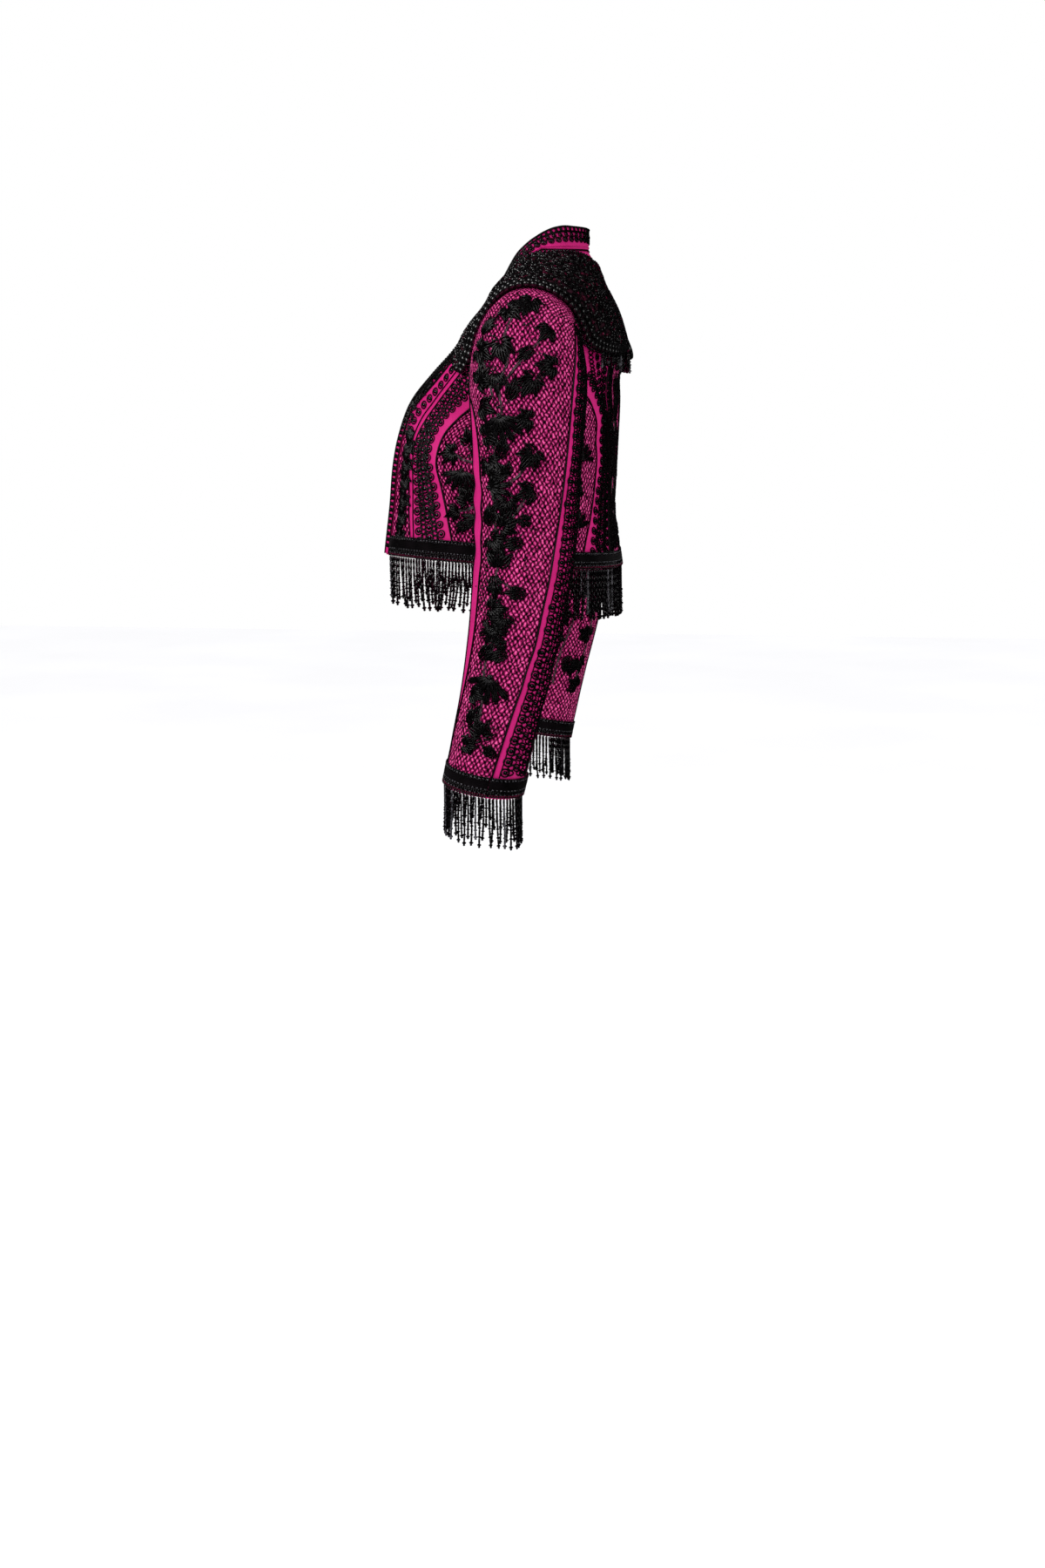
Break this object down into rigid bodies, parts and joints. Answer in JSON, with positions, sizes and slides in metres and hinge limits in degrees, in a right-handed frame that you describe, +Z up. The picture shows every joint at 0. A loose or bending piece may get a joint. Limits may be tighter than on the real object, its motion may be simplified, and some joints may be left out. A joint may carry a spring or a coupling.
{
  "type": "matador jacket",
  "caption": "Short stiff satin jacket worn open: standing collar, long sleeves, beaded hem and cuff bands with bead fringe, stiffened shoulder pieces.",
  "frame": {"origin": "middle of the neck hole, level with the tops of the shoulders, where the wearer's neck and shoulders hold the jacket", "axes": "+Z up the wearer's back, the wearer faces -Y, and the wearer's left is +X"},
  "size_m": [0.5798, 0.2965, 0.7344],
  "materials": {
    "satin": "magenta satin, closely embroidered in black",
    "beading": "black glass beads and cord, glossy"
  },
  "bodies": {
    "root": {"back": "satin", "collar": "satin", "cuff_band_left": "beading", "cuff_band_right": "beading", "cuff_fringe_left": "beading", "cuff_fringe_right": "beading", "front_braid_left": "beading", "front_braid_right": "beading", "front_left": "satin", "front_right": "satin", "hem_band_back": "beading", "hem_band_left": "beading", "hem_band_right": "beading", "hem_fringe_back": "beading", "hem_fringe_left": "beading", "hem_fringe_right": "beading", "shoulder_piece_left": "beading", "shoulder_piece_right": "beading", "side_back_left": "satin", "side_back_right": "satin", "side_front_left": "satin", "side_front_right": "satin", "tassel_left": "beading", "tassel_right": "beading", "under_sleeve_left": "satin", "under_sleeve_right": "satin", "upper_sleeve_left": "satin", "upper_sleeve_right": "satin"}
  },
  "joints": []
}
